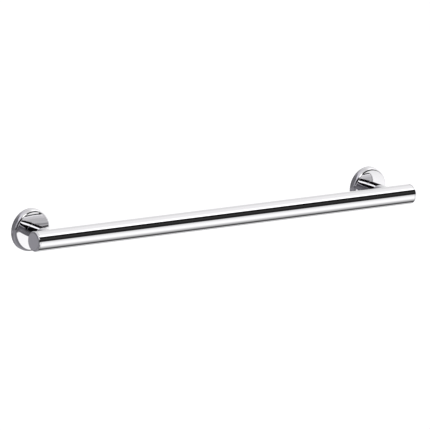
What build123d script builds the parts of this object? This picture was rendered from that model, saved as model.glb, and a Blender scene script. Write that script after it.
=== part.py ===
"""Straight round grab bar on two posts with round wall rosettes.

Millimetres. The wall is the plane Y = 0 and the room is on its -Y side. X runs along the bar
and Z is up. The origin is on the wall, midway between the two posts.
"""

import os

from build123d import *

# Bar
bar_diameter = 30.0
bar_wall = 1.5
bar_standoff = 64.0
bar_overhang = 36.5
tube_end_chamfer = 0.2

# End caps
cap_thickness = 3.5
cap_edge_radius = 2.5
cap_spigot_length = 8.0
cap_spigot_chamfer = 0.8

# Posts
post_spacing = 625.0
post_diameter = 21.5
post_base_chamfer = 0.5
post_spigot_diameter = 12.0
post_spigot_gap = 0.5

# Rosettes
rosette_diameter = 64.0
rosette_depth = 10.5
rosette_wall_height = 4.0
rosette_face_diameter = 56.5
rosette_flat_margin = 2.25
rosette_fall = 0.55
rosette_corner_radius = 2.0
rosette_front = 3.0
rosette_skirt = 3.0

# Bolts that clamp rosette, post and bar together, with their washers
bolt_diameter = 8.0
bolt_head_diameter = 13.0
bolt_head_height = 5.0
bolt_head_chamfer = 0.5
bolt_tip_chamfer = 1.0
bolt_socket_width = 5.0
bolt_socket_depth = 2.5
bolt_engagement = 10.0
washer_diameter = 16.0
washer_thickness = 1.6

# Threaded inserts inside the bar
insert_length = 20.0
insert_depth = 12.0

# Wall plates
plate_front_gap = 1.5
plate_chamfer = 0.6
plate_bore_clearance = 2.0
screw_hole_diameter = 5.5
screw_countersink_diameter = 10.5
screw_pitch = 38.0

# Grub screws that lock the rosettes on the plates
grub_diameter = 4.0
grub_bite = 2.2
grub_recess = 0.4
grub_point_chamfer = 0.8
grub_socket_width = 2.0
grub_socket_depth = 2.0

# Clearances, all on the radius or the face
bolt_clearance = 0.25
thread_clearance = 0.05
spigot_clearance = 0.1
saddle_clearance = 0.05
plate_clearance = 0.2
grub_seat_clearance = 0.1

# Worked out from the sizes above
bar_radius = bar_diameter / 2
bar_bore_radius = bar_radius - bar_wall
bar_back = bar_standoff - bar_radius
tube_length = post_spacing + 2 * (bar_overhang - cap_thickness)
post_radius = post_diameter / 2
post_spigot_length = rosette_front - post_spigot_gap
post_spigot_radius = post_spigot_diameter / 2
rosette_radius = rosette_diameter / 2
rosette_face_radius = rosette_face_diameter / 2
rosette_flat_radius = post_radius + rosette_flat_margin
cavity_radius = rosette_radius - rosette_skirt
cavity_depth = rosette_depth - rosette_front
bolt_radius = bolt_diameter / 2
bolt_hole_radius = bolt_radius + bolt_clearance
bolt_seat = cavity_depth - washer_thickness
bolt_length = bar_back + bar_wall + bolt_engagement - bolt_seat
washer_radius = washer_diameter / 2
insert_radius = bar_bore_radius - spigot_clearance
plate_radius = cavity_radius - plate_clearance
plate_thickness = cavity_depth - plate_front_gap
plate_bore_radius = washer_radius + plate_bore_clearance
screw_hole_radius = screw_hole_diameter / 2
countersink_radius = screw_countersink_diameter / 2
grub_radius = grub_diameter / 2
grub_height = plate_thickness / 2
grub_tip = plate_radius - grub_bite
grub_length = rosette_radius - grub_recess - grub_tip
sides = {"left": -1, "right": 1}


def wall_plane(x, out=0.0):
    """Plane parallel to the wall, out mm in front of it, centred on x, facing the room."""
    return Plane(origin=(x, -out, 0), x_dir=(1, 0, 0), z_dir=(0, -1, 0))


def bar_plane(x, facing=1):
    """Plane across the bar at x, centred on the bar's axis; its own x axis points at the wall."""
    return Plane(origin=(x, -bar_standoff, 0), x_dir=(0, 1, 0), z_dir=(facing, 0, 0))


def section_plane(x):
    """Plane through a post's axis at x: its own x axis is the radius, its y axis points at the room."""
    return Plane(origin=(x, 0, 0), x_dir=(1, 0, 0), z_dir=(0, 0, -1))


def under_plane(x, down):
    """Level plane, down mm below the post's axis, halfway through the wall plate, facing down."""
    return Plane(origin=(x, -grub_height, -down), x_dir=(1, 0, 0), z_dir=(0, 0, -1))


os.makedirs("parts", exist_ok=True)

# The tube that is gripped, with one bolt hole in its back for each post
with BuildPart() as bar_tube:
    with BuildSketch(bar_plane(0)):
        Circle(bar_radius)
        Circle(bar_bore_radius, mode=Mode.SUBTRACT)
    extrude(amount=tube_length / 2, both=True)
    outer_rims = bar_tube.edges().filter_by(GeomType.CIRCLE).group_by(SortBy.RADIUS)[-1]
    chamfer(outer_rims, tube_end_chamfer)
    for sign in sides.values():
        with BuildSketch(wall_plane(sign * post_spacing / 2, bar_back)):
            Circle(bolt_hole_radius)
        extrude(amount=bar_radius, mode=Mode.SUBTRACT)
bar_tube.part.label = "bar_tube"
export_step(bar_tube.part, "parts/bar_tube.step")

for side, sign in sides.items():
    post_x = sign * post_spacing / 2
    outward = Axis((0, 0, 0), (sign, 0, 0))
    roomward = Axis((0, 0, 0), (0, -1, 0))
    downward = Axis((0, 0, 0), (0, 0, -1))

    # Flat cap with a rounded rim and a spigot that plugs the tube
    with BuildPart() as end_cap:
        with BuildSketch(bar_plane(sign * tube_length / 2, sign)):
            Circle(bar_radius)
        extrude(amount=cap_thickness)
        fillet(end_cap.edges().sort_by(outward)[-1], cap_edge_radius)
        with BuildSketch(bar_plane(sign * tube_length / 2, sign)):
            Circle(bar_bore_radius - spigot_clearance)
        extrude(amount=-cap_spigot_length)
        chamfer(end_cap.edges().sort_by(outward)[0], cap_spigot_chamfer)
    end_cap.part.label = f"{side}_end_cap"
    export_step(end_cap.part, f"parts/{side}_end_cap.step")

    # Post with a spigot at the rosette, a bolt hole and an end coped to the bar
    with BuildPart() as post:
        with BuildSketch(wall_plane(post_x, rosette_depth)):
            Circle(post_radius)
        extrude(amount=bar_standoff - rosette_depth)
        chamfer(post.edges().filter_by(GeomType.CIRCLE).sort_by(roomward)[0], post_base_chamfer)
        with BuildSketch(wall_plane(post_x, rosette_depth)):
            Circle(post_spigot_radius)
        extrude(amount=-post_spigot_length)
        with BuildSketch(bar_plane(post_x)):
            Circle(bar_radius + saddle_clearance)
        extrude(amount=post_diameter, both=True, mode=Mode.SUBTRACT)
        with BuildSketch(wall_plane(post_x)):
            Circle(bolt_hole_radius)
        extrude(amount=bar_standoff, mode=Mode.SUBTRACT)
    post.part.label = f"{side}_post"
    export_step(post.part, f"parts/{side}_post.step")

    # Cup over the wall plate: front flat round the post, falling to a round shoulder, grub screw hole
    with BuildPart() as rosette:
        with BuildSketch(section_plane(post_x)):
            with BuildLine():
                flat_end = (rosette_flat_radius, rosette_depth)
                face_edge = (rosette_face_radius, rosette_depth - rosette_fall)
                wall_top = (rosette_radius, rosette_wall_height)
                TangentArc(flat_end, face_edge, tangent=(1, 0))
                TangentArc(wall_top, face_edge, tangent=(0, 1))
                Polyline(wall_top, (rosette_radius, 0), (0, 0), (0, rosette_depth), flat_end)
            make_face()
        revolve(axis=Axis((post_x, 0, 0), (0, -1, 0)))
        fillet(rosette.edges().group_by(SortBy.LENGTH)[-2], rosette_corner_radius)
        with BuildSketch(wall_plane(post_x)):
            Circle(cavity_radius)
        extrude(amount=cavity_depth, mode=Mode.SUBTRACT)
        with BuildSketch(wall_plane(post_x)):
            Circle(post_spigot_radius + spigot_clearance)
        extrude(amount=rosette_depth, mode=Mode.SUBTRACT)
        with BuildSketch(under_plane(post_x, plate_radius)):
            Circle(grub_radius + thread_clearance)
        extrude(amount=rosette_skirt + rosette_radius, mode=Mode.SUBTRACT)
    rosette.part.label = f"{side}_rosette"
    export_step(rosette.part, f"parts/{side}_rosette.step")

    # Plain washer between the bolt's head and the rosette
    with BuildPart() as bolt_washer:
        with BuildSketch(wall_plane(post_x, bolt_seat)):
            Circle(washer_radius)
            Circle(bolt_hole_radius, mode=Mode.SUBTRACT)
        extrude(amount=washer_thickness)
    bolt_washer.part.label = f"{side}_bolt_washer"
    export_step(bolt_washer.part, f"parts/{side}_bolt_washer.step")

    # Low-head socket bolt from inside the rosette, through the post, into the insert
    with BuildPart() as through_bolt:
        with BuildSketch(wall_plane(post_x, bolt_seat)):
            Circle(bolt_radius)
        extrude(amount=bolt_length)
        chamfer(through_bolt.edges().sort_by(roomward)[-1], bolt_tip_chamfer)
        with BuildSketch(wall_plane(post_x, bolt_seat)):
            Circle(bolt_head_diameter / 2)
        extrude(amount=-bolt_head_height)
        chamfer(through_bolt.edges().sort_by(roomward)[0], bolt_head_chamfer)
        with BuildSketch(wall_plane(post_x, bolt_seat - bolt_head_height)):
            RegularPolygon(bolt_socket_width / 2, side_count=6, major_radius=False)
        extrude(amount=bolt_socket_depth, mode=Mode.SUBTRACT)
    through_bolt.part.label = f"{side}_through_bolt"
    export_step(through_bolt.part, f"parts/{side}_through_bolt.step")

    # Threaded slug that fits the back of the tube's bore
    with BuildPart() as tube_insert:
        with BuildSketch(bar_plane(post_x)):
            Circle(insert_radius)
            with Locations((insert_radius - insert_depth / 2, 0)):
                Rectangle(insert_depth, bar_diameter, mode=Mode.INTERSECT)
        extrude(amount=insert_length / 2, both=True)
        with BuildSketch(wall_plane(post_x, bar_back)):
            Circle(bolt_radius + thread_clearance)
        extrude(amount=bar_diameter, mode=Mode.SUBTRACT)
    tube_insert.part.label = f"{side}_tube_insert"
    export_step(tube_insert.part, f"parts/{side}_tube_insert.step")

    # Fixing plate with two countersunk screw holes and a blind hole for the grub screw
    with BuildPart() as wall_plate:
        with BuildSketch(wall_plane(post_x)):
            Circle(plate_radius)
            Circle(plate_bore_radius, mode=Mode.SUBTRACT)
        extrude(amount=plate_thickness)
        front_rims = wall_plate.edges().group_by(roomward)[-1]
        chamfer(front_rims.sort_by(SortBy.RADIUS)[-1], plate_chamfer)
        with Locations(wall_plane(post_x, plate_thickness)):
            with Locations((0, screw_pitch / 2), (0, -screw_pitch / 2)):
                CounterSinkHole(screw_hole_radius, countersink_radius, counter_sink_angle=90)
        with BuildSketch(under_plane(post_x, grub_tip - grub_seat_clearance)):
            Circle(grub_radius + grub_seat_clearance)
        extrude(amount=plate_radius, mode=Mode.SUBTRACT)
    wall_plate.part.label = f"{side}_wall_plate"
    export_step(wall_plate.part, f"parts/{side}_wall_plate.step")

    # Grub screw with a hexagon socket, its point in the wall plate
    with BuildPart() as grub_screw:
        with BuildSketch(under_plane(post_x, grub_tip)):
            Circle(grub_radius)
        extrude(amount=grub_length)
        chamfer(grub_screw.edges().sort_by(downward)[0], grub_point_chamfer)
        with BuildSketch(under_plane(post_x, grub_tip + grub_length)):
            RegularPolygon(grub_socket_width / 2, side_count=6, major_radius=False)
        extrude(amount=-grub_socket_depth, mode=Mode.SUBTRACT)
    grub_screw.part.label = f"{side}_grub_screw"
    export_step(grub_screw.part, f"parts/{side}_grub_screw.step")
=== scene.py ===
"""Chrome grab bar on its two wall posts, in a plain white studio.

Metres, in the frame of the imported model: the wall is the plane Y = 0, the room is on its -Y side,
X runs along the bar and Z is up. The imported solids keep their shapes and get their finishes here.
"""
import math

import bpy
import numpy as np
from mathutils import Matrix, Vector


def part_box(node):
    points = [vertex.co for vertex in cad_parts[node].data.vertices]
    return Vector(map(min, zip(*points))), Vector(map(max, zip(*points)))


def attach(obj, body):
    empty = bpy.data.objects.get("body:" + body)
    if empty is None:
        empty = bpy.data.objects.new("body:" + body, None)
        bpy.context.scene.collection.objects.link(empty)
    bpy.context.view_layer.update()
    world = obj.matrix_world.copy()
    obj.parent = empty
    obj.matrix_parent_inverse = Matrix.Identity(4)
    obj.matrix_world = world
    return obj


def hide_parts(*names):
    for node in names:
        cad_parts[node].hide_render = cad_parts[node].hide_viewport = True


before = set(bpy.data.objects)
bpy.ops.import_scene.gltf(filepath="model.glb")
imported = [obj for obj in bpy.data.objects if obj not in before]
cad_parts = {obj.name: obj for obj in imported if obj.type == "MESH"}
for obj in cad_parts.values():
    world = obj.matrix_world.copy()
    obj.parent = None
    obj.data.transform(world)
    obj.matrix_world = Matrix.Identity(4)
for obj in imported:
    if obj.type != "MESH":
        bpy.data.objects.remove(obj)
for name in ("Cube", "Light", "Camera"):
    if name in bpy.data.objects:
        bpy.data.objects.remove(bpy.data.objects[name], do_unlink=True)
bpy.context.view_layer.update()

WHITE = (1.0, 1.0, 1.0, 1.0)

# Camera, as fitted to the photograph's outlines in its frame of 430 by 430 pixels
IMAGE_PX = 430
VIEW_AZIMUTH = math.radians(-36.9)
VIEW_ELEVATION = math.radians(13.97)
VIEW_ROLL = math.radians(3.03)
VIEW_DISTANCE = 8.13
VIEW_LIMIT = 100.0
FOCAL_PX = 5459.7
BAR_CENTRE_PX = (226.74, 217.07)
SENSOR_MM = 36.0

# The studio dome is given by the direction that a mirror looks in, and x and z are parts of that direction. An
# angle runs round the bar's axis, from straight ahead (0) over the top (90) to behind (180). A heading is seen
# from above, from straight ahead to the right. Both are in degrees. A ring lists (angle, level) stops.
RIGHT_RING = (
    (-180, 1.04), (-166, 1.08), (-157, 0.9), (-147, 0.55), (-132, 0.55), (-124, 0.8), (-120, 1.1),
    (-114, 0.8), (-107, 0.11), (-97, 0.06), (-91, 0.09), (-84, 0.2), (-73, 0.58), (-63, 0.87),
    (-52, 1.22), (-44, 1.52), (-34, 1.62), (-27, 1.52), (-17, 1.42), (-7, 1.16), (1, 1.02), (3.5, 0.06),
    (12, 0.02), (22, 0.03), (32, 0.06), (44, 0.01), (80, 0.02), (130, 1.0), (150, 1.04), (165, 1.0),
    (180, 1.04),
)
LEFT_RING = (
    (-180, 0.2), (-171, 0.2), (-166, 0.36), (-163, 0.39), (-160, 0.36), (-155, 0.2), (-148, 0.26),
    (-125, 0.4), (-90, 0.36), (-70, 0.26), (-40, 0.24), (0, 0.33), (42, 0.33), (56, 0.24), (115, 0.22),
    (138, 0.21), (180, 0.2),
)
LEFT_TINT = (1.01, 0.995, 1.075, 1.0)

# Where the left part of the dome gives way to the right part, in x: low down, and above that behind and
# ahead. The last three say over which z the upper ones take over, and where behind turns into ahead.
BLEND_LOW = (0.2, 0.55)
BLEND_BEHIND = (-0.55, 0.55)
BLEND_AHEAD = (-0.55, -0.2)
BEHIND_FROM_Z = (-0.15, 0.3)
AHEAD_FROM_Z = (-0.45, -0.28)
AHEAD_FROM = (-0.1, 0.1)

# Far ends of the dome: where they start, in x, and their rings
RIGHT_END = (0.64, 0.92)
RIGHT_END_RING = (
    (-180, 1.2), (-150, 1.1), (-56, 1.25), (-20, 1.4), (0, 1.1), (6, 0.5), (45, 0.5), (58, 0.9),
    (73, 1.2), (90, 1.5), (150, 1.55), (170, 1.3), (180, 1.2),
)
LEFT_END = (-0.7, -0.8)
LEFT_END_RING = (
    (-180, 0.22), (-120, 0.33), (-100, 0.42), (-80, 0.36), (-60, 0.26), (-12, 0.3), (-5, 0.1), (8, 0.1),
    (15, 0.33), (44, 0.36), (50, 0.85), (62, 0.85), (68, 0.2), (120, 0.17), (140, 0.2), (180, 0.22),
)

# Black flag on the left, and the dark gap above eye level from it to the right: the headings of both, and
# where they start in z
FLAG_FROM = -46.0
FLAG_FROM_SOFT = 3.0
FLAG_TO = -22.0
FLAG_TO_SOFT = 5.0
FLAG_FROM_Z = (-0.45, 0.05)
GAP_TO = 33.0
GAP_TO_SOFT = 3.0
GAP_FROM_Z = (0.1, 0.25)
BLACK_LEVEL = 0.004

# Overhead panel: its left and right sides, as x / z, with the left one leaning out by PANEL_SLANT for each
# degree ahead of PANEL_SLANT_FROM; its front and back, as angles, with the front turned by PANEL_SKEW; and its
# ring
PANEL_LEFT = -0.83
PANEL_LEFT_SOFT = 0.15
PANEL_SLANT = 0.0125
PANEL_SLANT_FROM = 100.0
PANEL_RIGHT = 1.6
PANEL_RIGHT_SOFT = 0.1
PANEL_LEAST_Z = 0.02
PANEL_FRONT = 50.3
PANEL_FRONT_SOFT = 1.0
PANEL_SKEW = 15.0
PANEL_BACK = 136.0
PANEL_BACK_SOFT = 4.0
PANEL_RING = (
    (-180, 1.0), (50, 1.3), (77, 1.5), (88, 1.37), (98, 1.25), (110, 1.3), (122, 1.22), (134, 1.08),
    (180, 1.0),
)

# The panel is shaded at its back left corner and dimmer on its left, and has a bright strip along its front
# right
SHADE = 0.95
SHADE_SIDE = (-0.35, -0.6)
SHADE_ANGLES = (98.0, 125.0)
DIM_LEVEL = 0.7
DIM_X = (0.25, 0.54)
STRIP_BACK = 75.0
STRIP_BACK_SOFT = 2.0
STRIP_X = (0.35, 0.52)
STRIP_LEVEL = 2.1

# Even light on matt things
MATT_LEVEL = 0.75

# Softbox in front of the bar, above eye level
SOFTBOX_CENTRE = Vector((-0.506, -3.69, 2.985))
SOFTBOX_WIDTH = 1.46
SOFTBOX_HEIGHT = 1.59
SOFTBOX_LEVEL = 2.4

# Floor
FLOOR_DROP = 0.45
FLOOR_SIZE = 14.0
FLOOR_COLOUR = (0.9, 0.9, 0.9, 1.0)
FLOOR_ROUGHNESS = 0.9
FLOOR_GLOW = 0.35

# Bolts and grub screws, in metres
BOLT = {
    "radius": 0.004, "pitch": 0.00125, "thread": 0.028, "point": 0.001, "socket": 0.005,
    "socket_depth": 0.0025, "head_radius": 0.0065, "head_height": 0.005, "head_chamfer": 0.0005,
}
GRUB = {
    "radius": 0.002, "pitch": 0.0007, "thread": 0.005, "point": 0.0008, "socket": 0.002,
    "socket_depth": 0.002,
}

# Screw meshes: points round a ring and rings in a pitch; the thread's depth in pitches, and its flat and flank
# as shares of its wave; the least angle of a sharp edge
ROUND = 72
RINGS_PER_PITCH = 8
THREAD_DEPTH = 0.61
THREAD_FLAT = 0.15
THREAD_FLANK = 0.7
SHARP_EDGE = math.radians(28.0)

# Metals, and the second colour that each one turns to in places
CHROME = (0.656, 0.651, 0.666, 1.0)
# The chrome's second colour is painted shade, with some grime at the cap joints
CHROME_SHADE_AND_GRIME = (0.1, 0.098, 0.105, 1.0)
BRASS = (0.72, 0.55, 0.28, 1.0)
BRASS_RED = (0.6, 0.43, 0.2, 1.0)
ZINC = (0.64, 0.65, 0.67, 1.0)
ZINC_BLUE = (0.52, 0.54, 0.57, 1.0)
ZINC_STRAW = (0.66, 0.62, 0.5, 1.0)
STAINLESS = (0.58, 0.58, 0.59, 1.0)
STAINLESS_DARK = (0.5, 0.5, 0.515, 1.0)

# Parts of a cloudy pattern between which one colour turns into the other
CLOUD_EDGES = (0.35, 0.65)

# Painted shade on the chrome: half the width of a cap's dark joint line (painted shade of the gap, with some
# grime) and of its edge, where the painted shade along the wall lies in y, how dark both are, and how much
# rougher a fully darkened place is
JOINT_WIDTH = 0.0002
WALL_SHADE_Y = (-0.0022, -0.0008)
JOINT_SHADE_AND_GRIME = 0.6
WALL_SHADE = 0.45
SHADE_AND_GRIME_ROUGHNESS = 0.2

tube_low, tube_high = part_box("bar_tube")
bar_centre = (Vector(tube_low) + Vector(tube_high)) / 2
CAP_JOINT_X = tube_high[0]
post_low, post_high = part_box("right_post")
POST_X = (post_low[0] + post_high[0]) / 2


def add_camera():
    """Place the camera so that the bar's middle falls on its pixel of the photograph."""
    a, e = VIEW_AZIMUTH, VIEW_ELEVATION
    back = Vector((math.sin(a) * math.cos(e), -math.cos(a) * math.cos(e), math.sin(e)))
    right = Vector((math.cos(a), math.sin(a), 0.0))
    up = back.cross(right)
    rolled_right = right * math.cos(VIEW_ROLL) + up * math.sin(VIEW_ROLL)
    rolled_up = up * math.cos(VIEW_ROLL) - right * math.sin(VIEW_ROLL)
    metres_per_px = VIEW_DISTANCE / FOCAL_PX
    shift_right = (BAR_CENTRE_PX[0] - IMAGE_PX / 2) * metres_per_px
    shift_down = (BAR_CENTRE_PX[1] - IMAGE_PX / 2) * metres_per_px
    place = bar_centre + back * VIEW_DISTANCE - rolled_right * shift_right + rolled_up * shift_down
    data = bpy.data.cameras.new("camera")
    data.sensor_width = SENSOR_MM
    data.lens = FOCAL_PX / IMAGE_PX * SENSOR_MM
    data.clip_end = VIEW_LIMIT
    camera = bpy.data.objects.new("camera", data)
    turn = Matrix((rolled_right, rolled_up, back)).transposed()
    camera.matrix_world = Matrix.Translation(place) @ turn.to_4x4()
    bpy.context.collection.objects.link(camera)
    bpy.context.scene.camera = camera


class Nodes:
    """Short ways to wire shader nodes in one tree."""

    def __init__(self, tree):
        self.tree = tree

    def add(self, kind, **values):
        node = self.tree.nodes.new(kind)
        for key, value in values.items():
            setattr(node, key, value)
        return node

    def put(self, socket, value):
        """Link a socket, or set a plain value."""
        if isinstance(value, bpy.types.NodeSocket):
            self.tree.links.new(value, socket)
        else:
            socket.default_value = value

    def math(self, operation, a, b=0.0):
        node = self.add("ShaderNodeMath", operation=operation)
        self.put(node.inputs[0], a)
        self.put(node.inputs[1], b)
        return node.outputs[0]

    def product(self, first, *others):
        """All the values multiplied together."""
        for other in others:
            first = self.math("MULTIPLY", first, other)
        return first

    def degrees(self, opposite, adjacent):
        """Angle of the direction (adjacent, opposite), in degrees from -180 to 180."""
        return self.math("MULTIPLY", self.math("ARCTAN2", opposite, adjacent), 180.0 / math.pi)

    def span(self, value, low, high, to_low=0.0, to_high=1.0, smooth=False):
        """Carry value from low..high to to_low..to_high, held at both ends."""
        node = self.add("ShaderNodeMapRange", interpolation_type="SMOOTHSTEP" if smooth else "LINEAR")
        self.put(node.inputs["Value"], value)
        node.inputs["From Min"].default_value = low
        node.inputs["From Max"].default_value = high
        node.inputs["To Min"].default_value = to_low
        node.inputs["To Max"].default_value = to_high
        return node.outputs["Result"]

    def above(self, value, edge, soft, smooth=True):
        """1 above edge and 0 below it, changing over soft to each side."""
        return self.span(value, edge - soft, edge + soft, smooth=smooth)

    def below(self, value, edge, soft, smooth=True):
        """1 below edge and 0 above it, changing over soft to each side."""
        return self.span(value, edge + soft, edge - soft, smooth=smooth)

    def mix(self, factor, a, b):
        node = self.add("ShaderNodeMix", data_type="FLOAT")
        self.put(node.inputs["Factor"], factor)
        self.put(node.inputs["A"], a)
        self.put(node.inputs["B"], b)
        return node.outputs[0]

    def mix_colour(self, factor, a, b):
        node = self.add("ShaderNodeMix", data_type="RGBA")
        self.put(node.inputs["Factor"], factor)
        self.put(node.inputs[6], a)
        self.put(node.inputs[7], b)
        return node.outputs[2]

    def ring(self, angle, stops):
        """Level at an angle of -180 to 180 degrees, straight between (angle, level) stops."""
        top = max(level for _, level in stops)
        node = self.add("ShaderNodeValToRGB")
        self.put(node.inputs["Fac"], self.span(angle, -180.0, 180.0))
        elements = node.color_ramp.elements
        elements.remove(elements[1])
        for i, (stop, level) in enumerate(stops):
            element = elements[0] if i == 0 else elements.new((stop + 180.0) / 360.0)
            element.position = (stop + 180.0) / 360.0
            element.color = (level / top, level / top, level / top, 1.0)
        return self.math("MULTIPLY", node.outputs["Color"], top)


def overhead_panel(n, x, z, angle):
    """Where the overhead panel is, from 0 to 1, and its level there."""
    across = n.math("DIVIDE", x, n.math("MAXIMUM", z, PANEL_LEAST_Z))
    leaning = n.math("MULTIPLY", n.math("SUBTRACT", PANEL_SLANT_FROM, angle), PANEL_SLANT)
    front = n.math("SUBTRACT", angle, n.math("MULTIPLY", x, PANEL_SKEW))
    shaded = n.math("MULTIPLY", n.span(across, *SHADE_SIDE), n.span(angle, *SHADE_ANGLES, 0.0, SHADE))
    inside = n.product(
        n.above(n.math("ADD", across, leaning), PANEL_LEFT, PANEL_LEFT_SOFT),
        n.below(across, PANEL_RIGHT, PANEL_RIGHT_SOFT),
        n.math("SUBTRACT", 1.0, shaded),
        n.above(front, PANEL_FRONT, PANEL_FRONT_SOFT, smooth=False),
        n.below(angle, PANEL_BACK, PANEL_BACK_SOFT),
    )
    strip = n.product(
        n.below(angle, STRIP_BACK, STRIP_BACK_SOFT, smooth=False),
        n.span(x, *STRIP_X, smooth=True),
    )
    level = n.product(n.ring(angle, PANEL_RING), n.span(x, *DIM_X, DIM_LEVEL, 1.0))
    return inside, n.mix(strip, level, STRIP_LEVEL)


def studio_world():
    """White to the eye; mirrors see a dome of soft panels and dark gaps, and matt things an even light."""
    world = bpy.data.worlds.new("studio")
    bpy.context.scene.world = world
    world.use_nodes = True
    tree = world.node_tree
    tree.nodes.clear()
    n = Nodes(tree)
    axes = n.add("ShaderNodeSeparateXYZ")
    n.put(axes.inputs[0], n.add("ShaderNodeTexCoord").outputs["Generated"])
    x, y, z = axes.outputs
    ahead = n.math("MULTIPLY", y, -1.0)
    angle, heading = n.degrees(z, ahead), n.degrees(x, ahead)

    low = n.span(x, *BLEND_LOW, smooth=True)
    behind = n.mix(n.span(z, *BEHIND_FROM_Z), low, n.span(x, *BLEND_BEHIND, smooth=True))
    in_front = n.mix(n.span(z, *AHEAD_FROM_Z), low, n.span(x, *BLEND_AHEAD, smooth=True))
    side = n.mix(n.span(ahead, *AHEAD_FROM), behind, in_front)
    dome = n.mix(side, n.ring(angle, LEFT_RING), n.ring(angle, RIGHT_RING))
    dome = n.mix(n.span(x, *LEFT_END, smooth=True), dome, n.ring(angle, LEFT_END_RING))
    dome = n.mix(n.span(x, *RIGHT_END, smooth=True), dome, n.ring(angle, RIGHT_END_RING))

    from_flag = n.above(heading, FLAG_FROM, FLAG_FROM_SOFT)
    flag = n.product(n.below(heading, FLAG_TO, FLAG_TO_SOFT), from_flag, n.span(z, *FLAG_FROM_Z))
    gap = n.product(n.below(heading, GAP_TO, GAP_TO_SOFT), from_flag, n.span(z, *GAP_FROM_Z))
    dome = n.mix(n.math("MAXIMUM", flag, gap), dome, BLACK_LEVEL)
    inside, level = overhead_panel(n, x, z, angle)
    dome = n.mix(inside, dome, level)

    path = n.add("ShaderNodeLightPath")
    dome = n.mix(path.outputs["Is Diffuse Ray"], dome, MATT_LEVEL)
    seen = n.math("MAXIMUM", path.outputs["Is Camera Ray"], path.outputs["Is Transmission Ray"])
    background = n.add("ShaderNodeBackground")
    n.put(background.inputs["Color"], n.mix_colour(n.math("MAXIMUM", side, seen), LEFT_TINT, WHITE))
    n.put(background.inputs["Strength"], n.mix(seen, dome, 1.0))
    n.put(n.add("ShaderNodeOutputWorld").inputs["Surface"], background.outputs[0])


def flat_sheet(name, centre, across, up):
    """Flat four-cornered sheet: centre + across * u + up * v, with u and v each from -1/2 to 1/2."""
    u, v = np.array([-0.5, 0.5, 0.5, -0.5]), np.array([-0.5, -0.5, 0.5, 0.5])
    points = np.array(centre) + np.outer(u, across) + np.outer(v, up)
    mesh = bpy.data.meshes.new(name)
    mesh.from_pydata(points.tolist(), [], [(0, 1, 2, 3)])
    sheet = bpy.data.objects.new(name, mesh)
    bpy.context.collection.objects.link(sheet)
    return sheet


def front_softbox():
    """Softbox facing the bar, unseen by the camera."""
    facing = (bar_centre - SOFTBOX_CENTRE).normalized()
    across = facing.cross(Vector((0, 0, 1))).normalized()
    up = across.cross(facing)
    card = flat_sheet("front_softbox", SOFTBOX_CENTRE, across * SOFTBOX_WIDTH, up * SOFTBOX_HEIGHT)
    card.visible_camera = False
    card.visible_shadow = False
    material = bpy.data.materials.new("softbox_cloth")
    material.use_nodes = True
    tree = material.node_tree
    tree.nodes.clear()
    n = Nodes(tree)
    glow = n.add("ShaderNodeEmission")
    glow.inputs["Strength"].default_value = SOFTBOX_LEVEL
    n.put(n.add("ShaderNodeOutputMaterial").inputs["Surface"], glow.outputs[0])
    card.data.materials.append(material)


def studio_floor():
    """Plain white floor well below the bar, seen from above only; it keeps the bar's soft shadow."""
    centre = (0.0, 0.0, -FLOOR_DROP)
    floor = flat_sheet("floor", centre, (FLOOR_SIZE, 0, 0), (0, FLOOR_SIZE, 0))
    floor.visible_glossy = False
    material = bpy.data.materials.new("floor_paper")
    material.use_nodes = True
    tree = material.node_tree
    n = Nodes(tree)
    shader = tree.nodes["Principled BSDF"]
    shader.inputs["Base Color"].default_value = FLOOR_COLOUR
    shader.inputs["Roughness"].default_value = FLOOR_ROUGHNESS
    shader.inputs["Specular IOR Level"].default_value = 0.0
    shader.inputs["Emission Color"].default_value = WHITE
    path = n.add("ShaderNodeLightPath")
    n.put(shader.inputs["Emission Strength"], n.math("MULTIPLY", path.outputs["Is Camera Ray"], FLOOR_GLOW))
    from_below = n.add("ShaderNodeMixShader")
    n.put(from_below.inputs["Fac"], n.add("ShaderNodeNewGeometry").outputs["Backfacing"])
    n.put(from_below.inputs[1], shader.outputs["BSDF"])
    n.put(from_below.inputs[2], n.add("ShaderNodeBsdfTransparent").outputs[0])
    n.put(tree.nodes["Material Output"].inputs["Surface"], from_below.outputs[0])
    floor.data.materials.append(material)


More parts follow.
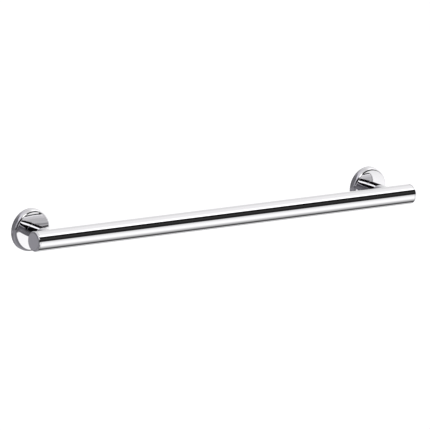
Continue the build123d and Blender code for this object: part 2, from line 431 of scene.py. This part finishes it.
class Metal(Nodes):
    """A bare metal finish with patterns laid out in the model's own metres."""

    def __init__(self, name):
        self.material = bpy.data.materials.new(name)
        self.material.use_nodes = True
        super().__init__(self.material.node_tree)
        self.shader = self.tree.nodes["Principled BSDF"]
        self.shader.inputs["Metallic"].default_value = 1.0
        self.place = self.add("ShaderNodeTexCoord").outputs["Object"]
        axes = self.add("ShaderNodeSeparateXYZ")
        self.put(axes.inputs[0], self.place)
        self.x, self.y, self.z = axes.outputs

    def noise(self, size, detail=3.0, stretch=(1.0, 1.0, 1.0)):
        """Cloudy pattern from 0 to 1 with patches about size metres wide, longer where stretch is over 1."""
        scaled = self.add("ShaderNodeVectorMath", operation="MULTIPLY")
        self.put(scaled.inputs[0], self.place)
        scaled.inputs[1].default_value = [1.0 / (size * factor) for factor in stretch]
        node = self.add("ShaderNodeTexNoise")
        self.put(node.inputs["Vector"], scaled.outputs[0])
        node.inputs["Scale"].default_value = 1.0
        node.inputs["Detail"].default_value = detail
        return node.outputs[0]

    def wave(self, along, pitch, stray, stray_size):
        """Ripple from -1 to 1 that repeats each pitch metres, moved along by stray in noise of stray_size."""
        moved = self.math("ADD", along, self.math("MULTIPLY", self.noise(stray_size), stray))
        return self.math("SINE", self.math("MULTIPLY", moved, 2.0 * math.pi / pitch))

    def post_radius(self):
        """Distance from the nearer post's axis: the length of (|x| - half the post spacing, z)."""
        sideways = self.math("SUBTRACT", self.math("ABSOLUTE", self.x), POST_X)
        squares = self.math("ADD", self.product(sideways, sideways), self.product(self.z, self.z))
        return self.math("SQRT", squares)

    def band(self, value, middle, half_width, soft):
        """1 within half_width of middle, falling to 0 over soft."""
        away = self.math("ABSOLUTE", self.math("SUBTRACT", value, middle))
        return self.span(away, half_width + soft, half_width, smooth=True)

    def patches(self, size, first, second, detail=3.0):
        """Two colours in clouds about size metres wide."""
        return self.mix_colour(self.span(self.noise(size, detail), *CLOUD_EDGES), first, second)

    def colour(self, value):
        self.put(self.shader.inputs["Base Color"], value)

    def roughness(self, value):
        self.put(self.shader.inputs["Roughness"], value)

    def bump(self, height, depth):
        """Raise the surface by height times depth metres."""
        node = self.add("ShaderNodeBump")
        self.put(node.inputs["Height"], height)
        node.inputs["Distance"].default_value = depth
        self.put(self.shader.inputs["Normal"], node.outputs[0])


def polished_chrome():
    """Mirror plate: faint wiping marks and smudges, painted shade with some grime at the cap joints, painted
    shade along the wall.
    """
    metal = Metal("polished_chrome_plate")
    # Painted shade of the gap at each cap joint, with some grime: a thin, dark, rougher line
    joint = metal.band(metal.math("ABSOLUTE", metal.x), CAP_JOINT_X, half_width=JOINT_WIDTH, soft=JOINT_WIDTH)
    # Painted shade: the chrome darkens towards the wall, where the rosettes meet it
    wall_shade = metal.span(metal.y, *WALL_SHADE_Y, to_high=WALL_SHADE, smooth=True)
    shade_and_grime = metal.math("MAXIMUM", metal.math("MULTIPLY", joint, JOINT_SHADE_AND_GRIME), wall_shade)
    metal.colour(metal.mix_colour(shade_and_grime, CHROME, CHROME_SHADE_AND_GRIME))
    smudges = metal.noise(size=0.035, detail=4.0)
    smudges = metal.span(smudges, low=0.4, high=0.75, to_low=0.018, to_high=0.05)
    wiping = metal.noise(size=0.0012, detail=2.0, stretch=(25.0, 1.0, 1.0))
    wiping = metal.span(wiping, low=0.3, high=0.7, to_low=-0.006, to_high=0.008)
    polish = metal.math("ADD", smudges, wiping)
    metal.roughness(metal.math("ADD", polish, metal.math("MULTIPLY", shade_and_grime, SHADE_AND_GRIME_ROUGHNESS)))
    metal.bump(metal.noise(size=0.006, detail=2.0), depth=0.000008)
    return metal.material


def turned_brass():
    """Lathe marks across the slug, with duller and redder patches."""
    metal = Metal("turned_brass")
    metal.colour(metal.patches(0.004, BRASS, BRASS_RED))
    metal.roughness(metal.span(metal.noise(size=0.002), low=0.3, high=0.7, to_low=0.22, to_high=0.4))
    metal.bump(metal.wave(metal.x, pitch=0.0006, stray=0.0002, stray_size=0.003), depth=0.00001)
    return metal.material


def zinc_plating():
    """Matt zinc on pressed steel: grey-blue clouds, a faint straw tint and a fine grain."""
    metal = Metal("zinc_plating")
    straw = metal.span(metal.noise(size=0.015, detail=2.0), low=0.5, high=0.75, to_high=0.5)
    metal.colour(metal.mix_colour(straw, metal.patches(0.006, ZINC, ZINC_BLUE, detail=5.0), ZINC_STRAW))
    grain = metal.noise(size=0.0025, detail=4.0)
    metal.roughness(metal.span(grain, low=0.3, high=0.7, to_low=0.32, to_high=0.55))
    metal.bump(metal.noise(size=0.0005, detail=3.0), depth=0.00003)
    return metal.material


def turned_stainless():
    """Bolts, washers and grub screws: rings turned round the post's axis over a plain grey."""
    metal = Metal("turned_stainless")
    metal.colour(metal.patches(0.003, STAINLESS, STAINLESS_DARK))
    rings = metal.wave(metal.post_radius(), pitch=0.0005, stray=0.0003, stray_size=0.004)
    metal.roughness(metal.span(rings, low=-1.0, high=1.0, to_low=0.2, to_high=0.34))
    metal.bump(rings, depth=0.000008)
    return metal.material


def screw_profile(size, length):
    """Distances along a screw from its socket's end, and radii at ROUND angles for each.

    The outline runs from the floor of the hexagon socket, out over the head, along the shank and down the
    chamfered point. A hexagon's radius is half its width over the cosine of the angle from the middle of the
    nearest flat. The thread takes up to THREAD_DEPTH pitches off the radius, by a triangle wave of
    along / pitch - turn with flat tops, and it runs out gently at its inner end.
    """
    pitch, radius = size["pitch"], size["radius"]
    turn = np.arange(ROUND) / ROUND
    from_flat = np.mod(turn * 2 * np.pi + np.pi / 6, np.pi / 3) - np.pi / 6
    hexagon = size["socket"] / 2 / np.cos(from_flat)
    level = np.ones(ROUND)
    chamfer = size.get("head_chamfer", pitch / 2)
    head_radius, head = size.get("head_radius", radius), size.get("head_height", 0.0)
    along = [size["socket_depth"], 0.0, 0.0, chamfer]
    radii = [hexagon, hexagon, (head_radius - chamfer) * level, head_radius * level]
    if head:
        along += [head, head, length - size["thread"]]
        radii += [head_radius * level, radius * level, radius * level]
    step = pitch / RINGS_PER_PITCH
    first = max(length - size["thread"], along[-1]) + step
    steps = np.arange(first, length, step)
    steps = np.append(steps[steps < length - step / 2], length)
    wave = np.abs(2 * np.mod(steps[:, None] / pitch - turn[None, :], 1.0) - 1)
    groove = 1 - np.clip((wave - THREAD_FLAT) / THREAD_FLANK, 0, 1)
    groove = groove * np.clip((steps - first) / pitch, 0, 1)[:, None]
    point = radius - np.clip(steps - (length - size["point"]), 0, None)
    threaded = np.minimum(radius - THREAD_DEPTH * pitch * groove, point[:, None])
    return np.append(along, steps), np.vstack([radii, threaded])


def screw(name, node, size, axis, side_axis):
    """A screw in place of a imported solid: rings of points round its axis, closed by a fan at each end.

    A ring's points are start + axis * along + (side_axis * cos + third * sin) * radius.
    """
    low, high = (np.array(corner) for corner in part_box(node))
    axis, side_axis = np.array(axis, float), np.array(side_axis, float)
    third = np.cross(axis, side_axis)
    length = np.abs((high - low) @ axis)
    start = (low + high) / 2 - axis * length / 2
    along, radii = screw_profile(size, length)
    angle = np.arange(ROUND) / ROUND * 2 * np.pi
    spokes = np.outer(np.cos(angle), side_axis) + np.outer(np.sin(angle), third)
    rings = start + along[:, None, None] * axis + radii[:, :, None] * spokes[None, :, :]
    ends = np.array([start + along[0] * axis, start + along[-1] * axis])
    points = np.vstack([rings.reshape(-1, 3), ends])
    count = len(along)
    here = np.arange(ROUND)
    after = np.roll(here, -1)
    rows = np.arange(count - 1)[:, None] * ROUND
    quads = np.stack([rows + here, rows + after, rows + ROUND + after, rows + ROUND + here], -1)
    last = (count - 1) * ROUND
    first_pole, last_pole = np.full(ROUND, count * ROUND), np.full(ROUND, count * ROUND + 1)
    first_fan = np.stack([first_pole, after, here], -1)
    last_fan = np.stack([last_pole, last + here, last + after], -1)
    faces = quads.reshape(-1, 4).tolist() + first_fan.tolist() + last_fan.tolist()
    mesh = bpy.data.meshes.new(name)
    mesh.from_pydata(points.tolist(), [], faces)
    mesh.polygons.foreach_set("use_smooth", np.ones(len(mesh.polygons), bool))
    mesh.set_sharp_from_angle(angle=SHARP_EDGE)
    piece = bpy.data.objects.new(name, mesh)
    bpy.context.collection.objects.link(piece)
    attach(piece, "root")
    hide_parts(node)
    return piece


def dress_solids():
    """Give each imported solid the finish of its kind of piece, and the screws their threads."""
    brass, zinc, stainless, chrome = turned_brass(), zinc_plating(), turned_stainless(), polished_chrome()
    finishes = {"tube_insert": brass, "wall_plate": zinc, "through_bolt": stainless, "bolt_washer": stainless,
                "grub_screw": stainless}
    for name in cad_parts:
        kind = name.split("_", 1)[1]
        for slot in bpy.data.objects[name].material_slots:
            slot.material = finishes.get(kind, chrome)
    for side in ("left", "right"):
        bolt = screw(f"{side}_threaded_bolt", f"{side}_through_bolt", BOLT, (0, -1, 0), (1, 0, 0))
        grub = screw(f"{side}_threaded_grub_screw", f"{side}_grub_screw", GRUB, (0, 0, 1), (1, 0, 0))
        for piece in (bolt, grub):
            piece.data.materials.append(stainless)


add_camera()
studio_world()
front_softbox()
studio_floor()
dress_solids()

bpy.context.scene.view_settings.view_transform = "Standard"
